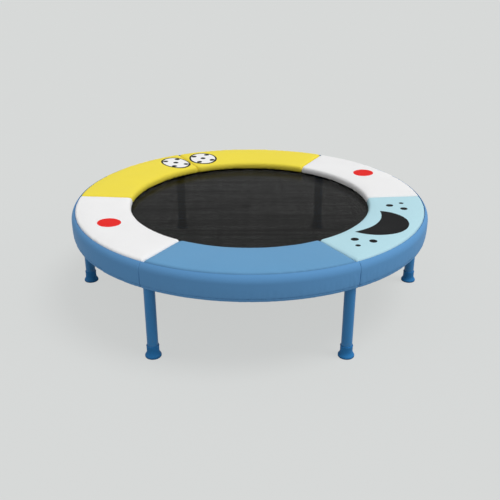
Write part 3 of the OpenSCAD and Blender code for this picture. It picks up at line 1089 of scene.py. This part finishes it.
def hook_path():
    """The hook at the mat's end: half way round the D-ring's bow, then over to the coil."""
    around = np.linspace(-0.5 * math.pi, -1.5 * math.pi, 15)
    path = [(apex_r + 2.5 * MM, 0, -EYE + 0.4 * MM), (apex_r + 1.2 * MM, 0, -EYE)]
    path += [(apex_r + EYE * math.cos(a), 0, EYE * math.sin(a)) for a in around]
    return path + [(apex_r + 3 * MM, 0, EYE + 0.1 * MM), (coil_in - 2.5 * MM, 0, 4.4 * MM)]


def coil_path():
    """The close turns."""
    steps = TURNS * TURN_STEPS
    path = []
    for k in range(steps + 1):
        a = 2 * math.pi * k / TURN_STEPS
        run = coil_in + WIRE + (coil_len - 2 * WIRE) * k / steps
        path.append((run, COIL * math.sin(a), COIL * math.cos(a)))
    return path


def tail_path():
    """The tail at the ring's end: in line with the coil, through its hole, then down inside the tube."""
    bend_r = tail_r - TAIL_BEND
    path = [(coil_out + 2.2 * MM, 0.4 * MM, 4.2 * MM), (coil_out + 4.2 * MM, 0, 1.2 * MM)]
    path += [(coil_out + 6.2 * MM, 0, 0), (bend_r, 0, 0)]
    path += [(bend_r + TAIL_BEND * math.sin(a), 0, -TAIL_BEND + TAIL_BEND * math.cos(a))
             for a in np.linspace(0.3, 0.5 * math.pi, 5)]
    return path + [(tail_r, 0, -TAIL_DOWN)]


def spring_path():
    """Centre line of a spring along +X at the spring's height."""
    return np.array(hook_path() + coil_path() + tail_path()) + (0, 0, spring_z)


spring_points, spring_faces = swept_tube(spring_path(), WIRE, sides=8)
print("one spring has", len(spring_points), "points")

# %% [markdown]
# ### Hang the springs, D-rings and tabs
#
# Each direction gets its own spring, D-ring and webbing tab, each a separate piece. When the mat goes
# down, nothing moves at the ring, and the mat's middle moves by the whole travel.


def dish(piece):
    """Bakes the piece's placement into its mesh."""
    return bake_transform(piece)


# %% [markdown]
# ### D-rings and tabs
#
# A D-ring is one closed wire: a straight bar that the tab goes round, and a bow that the spring's hook
# pulls on. A tab is a flat strap. It comes out from under the band, goes round the bar, and is folded
# back and sewn down.

# %% D-rings and tabs
BEND = 12.5 * MM
RING_CORNER = 2.5 * MM
RING_WIRE = 1.5 * MM
dring_r = apex_r - BEND


def dring_path():
    """Centre line of a D-ring with its straight bar towards the mat."""
    corner = RING_CORNER
    path = [(dring_r, y, 0) for y in np.linspace(-BEND + corner, BEND - corner, 9)]
    path += [(dring_r + corner - corner * math.cos(a), BEND - corner + corner * math.sin(a), 0)
             for a in np.linspace(0.2, 0.5 * math.pi, 5)]
    path += [(dring_r + BEND * math.cos(a), BEND * math.sin(a), 0) for a in np.linspace(1.3, -1.3, 21)]
    path += [(dring_r + corner - corner * math.sin(a), -BEND + corner - corner * math.cos(a), 0)
             for a in np.linspace(0, 0.5 * math.pi - 0.2, 5)]
    return np.array(path) + (0, 0, spring_z)


# %% A flat strap
def strap(path, width, thickness):
    """A flat strap that follows a path of (x, z) and is width wide across it."""
    path = np.asarray(path, float)
    tangent = np.gradient(path, axis=0)
    tangent /= np.linalg.norm(tangent, axis=1)[:, None]
    normal = np.column_stack([-tangent[:, 1], tangent[:, 0]])
    wide, thick, edge = width / 2, thickness / 2, 0.3 * thickness
    corners = [(wide, edge - thick), (wide, thick - edge), (wide - edge, thick)]
    ring = [(-wide, edge - thick), (edge - wide, -thick), (wide - edge, -thick), *corners]
    ring += [(edge - wide, thick), (-wide, thick - edge)]
    points = [(p[0] + n[0] * t, y, p[1] + n[1] * t) for p, n in zip(path, normal) for y, t in ring]
    faces = grid_faces(len(path), len(ring), wrap_columns=True)
    last = (len(path) - 1) * len(ring)
    faces += [list(range(len(ring))), list(range(last, last + len(ring)))[::-1]]
    return np.array(points), faces


TAB = 1.0 * MM
TAB_WIDTH = 20 * MM
BAND_WIDTH = 16 * MM
BAND_OVERLAP = 0.5 * MM
band_in = band_high.x - BAND_WIDTH


def tab_path():
    """Side view of a tab: out under the band, round the D-ring's bar and back."""
    loop = RING_WIRE + 0.3 * MM + TAB / 2
    start, fold = band_in + BAND_OVERLAP, dring_r - 12 * MM
    above, below = spring_z + loop, spring_z - loop
    path = [(r, above) for r in np.linspace(start, dring_r, 8)]
    path += [(dring_r + loop * math.cos(a), spring_z + loop * math.sin(a))
             for a in np.linspace(1.3, -1.3, 9)]
    path += [(dring_r, below), (dring_r - 4 * MM, below + 0.9 * MM), (fold + 2 * MM, above - 1.5 * MM)]
    path += [(fold - 1 * MM, above - 1.05 * MM), (start, above - 1.05 * MM)]
    return path


# %% Hang them
dring_points, dring_faces = swept_tube(dring_path(), RING_WIRE, sides=10, closed=True)
tab_points, tab_faces = strap(tab_path(), TAB_WIDTH, TAB)

hung = [("spring", spring_points, spring_faces, zinc, "zinc_steel", "coil_springs"),
        ("d_ring", dring_points, dring_faces, zinc, "zinc_steel", "mat_rings"),
        ("mat_tab", tab_points, tab_faces, black_webbing, "black_webbing", "mat_tabs")]
for k in range(SPRINGS):
    a = spring_angle(k)
    for name, points, faces, finish, slot, node in hung:
        piece = add_piece(f"{name}_{k + 1:02d}", turned(points, a), faces, finish, None)
        piece = dish(piece)
        if k == 0:
            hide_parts(node)
print("hung", SPRINGS, "springs, D-rings and tabs")

# %% [markdown]
# ## The mat
#
# The mat is one taut disc of weave with a webbing band folded over its edge. It dishes when someone
# stands on it, and a piece can only bend along one direction here, so the disc is laid out as 18
# narrow wedges whose edges share the same points: at rest they are one flat surface, and they go down
# together.

# %% Mat wedges
WEDGE = 2 * math.pi / WEDGES
MAT_RINGS, MAT_STEPS, BAND_STEPS = 40, 8, 10
MAT_POINT = 0.4 * MM
BAND_FOLD = 1.6 * MM
BAND_FLAT = 4 * MM


def wedge_mesh(profile, steps):
    """A closed cross-section of (radius, height) swept through one wedge about +X."""
    angles = np.linspace(-WEDGE / 2, WEDGE / 2, steps + 1)
    points = [(r * math.cos(a), r * math.sin(a), z) for a in angles for r, z in profile]
    count = len(profile)
    ends = [list(range(count)), list(range(steps * count, (steps + 1) * count))[::-1]]
    return points, grid_faces(steps + 1, count, wrap_columns=True) + ends


def mat_wedge():
    """One wedge of the mat, upper face and lower face, closed."""
    radii = np.linspace(MAT_POINT, mat_r, MAT_RINGS)
    profile = [(r, mat_high.z) for r in radii] + [(r, mat_low.z) for r in radii[::-1]]
    return wedge_mesh(profile, MAT_STEPS)


def band_wedge():
    """One wedge of the edge band, folded over the mat's edge, with softly rounded edges."""
    out, flat_in, flat_out = band_high.x, band_in + BAND_FLAT, band_high.x - BAND_FLAT
    top, bottom = band_high.z, band_low.z
    middle, half = (top + bottom) / 2, (top - bottom) / 2
    outer = [(band_in, mat_high.z), (band_in + 0.2 * MM, top - 0.3 * MM), (band_in + 0.8 * MM, top)]
    outer += [(r, top) for r in np.linspace(flat_in, flat_out, 4)]
    outer += [(out - BAND_FOLD + BAND_FOLD * math.cos(a), middle + half * math.sin(a))
              for a in np.linspace(0.5 * math.pi, -0.5 * math.pi, 9)]
    outer += [(r, bottom) for r in np.linspace(flat_out, flat_in, 4)]
    outer += [(band_in + 0.8 * MM, bottom), (band_in + 0.2 * MM, bottom + 0.3 * MM)]
    outer += [(band_in, mat_low.z)]
    inner = [(mat_r + 0.1 * MM, mat_low.z), (mat_r + 0.1 * MM, mat_high.z)]
    return wedge_mesh(outer + inner, BAND_STEPS)


# %% Lay the mat
mat_mesh, band_mesh = mat_wedge(), band_wedge()
for k in range(WEDGES):
    a = FRONT + WEDGE * (k + 0.5)
    number = f"{k + 1:02d}"
    wedge = add_piece(f"mat_wedge_{number}", turned(mat_mesh[0], a), mat_mesh[1], mat_weave, None)
    band = add_piece(f"mat_band_{number}", turned(band_mesh[0], a), band_mesh[1], black_webbing, None)
    dish(wedge)
    dish(band)
    if k == 0:
        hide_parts("mat_sheet")
        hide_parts("mat_edge_band")

# %% [markdown]
# ## Weld beads
#
# Each socket is welded to the ring. A weld bead is a row of overlapping ripples that follows the joint
# between the socket's round wall and the ring's tube. The joint is where the two cylinders meet, so its
# height at each angle comes from the ring's circle.

# %% Weld beads
BEAD = 1.3 * MM
BEAD_STEPS = 72
RIPPLE, RIPPLE_STEPS = 0.14, 4
LEAST_DROP = 0.55


def weld_path(i):
    """The joint between socket i and the ring tube."""
    centre = np.array([ring_r * math.cos(leg_angle(i)), ring_r * math.sin(leg_angle(i))])
    outward = centre / np.linalg.norm(centre)
    along = np.array([-outward[1], outward[0]])
    path = []
    for a in np.linspace(0, 2 * math.pi, BEAD_STEPS, endpoint=False):
        across, run = tube_r * math.cos(a), tube_r * math.sin(a)
        place = centre + outward * across + along * run
        off = np.linalg.norm(place) - ring_r
        drop = math.sqrt(max(tube_r ** 2 - off ** 2, (LEAST_DROP * tube_r) ** 2))
        path.append((*place, ring_z - drop))
    return path


ripples = BEAD * (1 + RIPPLE * np.sin(np.arange(BEAD_STEPS) * 2 * math.pi / RIPPLE_STEPS))
for i in range(1, SECTIONS + 1):
    bead_mesh = swept_tube(weld_path(i), ripples, sides=8, closed=True)
    bead = add_piece(f"weld_bead_{i}", *bead_mesh, paint, "frame")
print("weld beads:", SECTIONS)

# %% [markdown]
# ## Floor, light and camera
#
# The object stands on a plain pale floor. One broad sun from high on the right gives the pads their
# soft shading and leaves the left legs darker. Two weak low suns, right and left, lift the skirt and the
# legs, and an even sky fills the rest. Together they light a level surface so that a colour comes out
# about as it was written. The floor keeps the object's shadow, but most of what the camera sees of it is
# plain colour, so the shadow stays light. The floor throws back less light than its colour suggests,
# because a pale floor of this size would light the underside too much.

# %% Floor
BACKGROUND = linear(215, 217, 216)
SHADOW_SHARE = 0.18
BOUNCE = 0.6


def pale_floor():
    """A matt floor that shows the camera mostly its own plain colour."""
    f = Finish("pale_floor", roughness=0.9, specular=0.0)
    path = f.nodes.new("ShaderNodeLightPath")
    seen = f.math("MAXIMUM", path.outputs["Is Camera Ray"], path.outputs["Is Glossy Ray"])
    f.colour(f.mix(seen, shade(BACKGROUND, BOUNCE), BACKGROUND))
    glow = f.nodes.new("ShaderNodeEmission")
    glow.inputs["Color"].default_value = BACKGROUND
    f.let_through(f.math("MULTIPLY", seen, 1 - SHADOW_SHARE), glow.outputs[0])
    return f.material


FLOOR = 40
floor_points = [(-FLOOR, -FLOOR, 0), (FLOOR, -FLOOR, 0), (FLOOR, FLOOR, 0), (-FLOOR, FLOOR, 0)]
floor = add_piece("floor", floor_points, [[0, 1, 2, 3]], pale_floor(), None, smooth=False)
print("floor reaches", FLOOR, "m each way")

# %% Sky and suns
SKY = 0.43
SKY_BLUE = 1.01
world = bpy.data.worlds.new("studio")
bpy.context.scene.world = world
world.use_nodes = True
nodes, links = world.node_tree.nodes, world.node_tree.links
sky = nodes["Background"]
sky.inputs["Color"].default_value = (SKY, SKY, SKY * SKY_BLUE, 1)
plain = nodes.new("ShaderNodeBackground")
plain.inputs["Color"].default_value = BACKGROUND
path = nodes.new("ShaderNodeLightPath")
seen = nodes.new("ShaderNodeMath")
seen.operation = "MAXIMUM"
links.new(path.outputs["Is Camera Ray"], seen.inputs[0])
links.new(path.outputs["Is Glossy Ray"], seen.inputs[1])
join = nodes.new("ShaderNodeMixShader")
links.new(seen.outputs[0], join.inputs["Fac"])
links.new(sky.outputs[0], join.inputs[1])
links.new(plain.outputs[0], join.inputs[2])
links.new(join.outputs[0], nodes["World Output"].inputs["Surface"])


def add_sun(name, strength, elevation, azimuth, spread):
    """A sun that shines from an elevation and from an azimuth, in degrees, anticlockwise from +X."""
    lamp = bpy.data.lights.new(name, "SUN")
    lamp.energy = strength
    lamp.angle = math.radians(spread)
    sun = bpy.data.objects.new(name, lamp)
    e, a = math.radians(elevation), math.radians(azimuth)
    from_sun = Vector((-math.cos(e) * math.cos(a), -math.cos(e) * math.sin(a), -math.sin(e)))
    sun.rotation_euler = from_sun.to_track_quat("-Z", "Y").to_euler()
    bpy.context.scene.collection.objects.link(sun)
    print(f"{name}: strength {strength}, from {elevation} degrees up")


add_sun("key", strength=1.74, elevation=68, azimuth=-13, spread=30)
add_sun("right fill", strength=0.3, elevation=25, azimuth=-12, spread=20)
add_sun("left fill", strength=0.15, elevation=25, azimuth=190, spread=20)

# %% [markdown]
# ### Camera
#
# The camera stands 1.7 m in front of the middle, at about hip height, and looks down by 24.5 degrees. The
# standard view transform shows colours as they were written.

# %% Camera
LENS = 50.29
LOOK_DOWN = 24.5
CAMERA_PLACE = (0.0007, -1.731, 0.8803)
camera_data = bpy.data.cameras.new("camera")
camera = bpy.data.objects.new("camera", camera_data)
bpy.context.scene.collection.objects.link(camera)
camera_data.sensor_width = 36
camera_data.lens = LENS
camera.location = CAMERA_PLACE
camera.rotation_euler = (math.radians(90 - LOOK_DOWN), 0, 0)
bpy.context.scene.camera = camera
bpy.context.scene.view_settings.view_transform = "Standard"
print("camera looks down by", LOOK_DOWN, "degrees through a lens of", LENS, "mm")
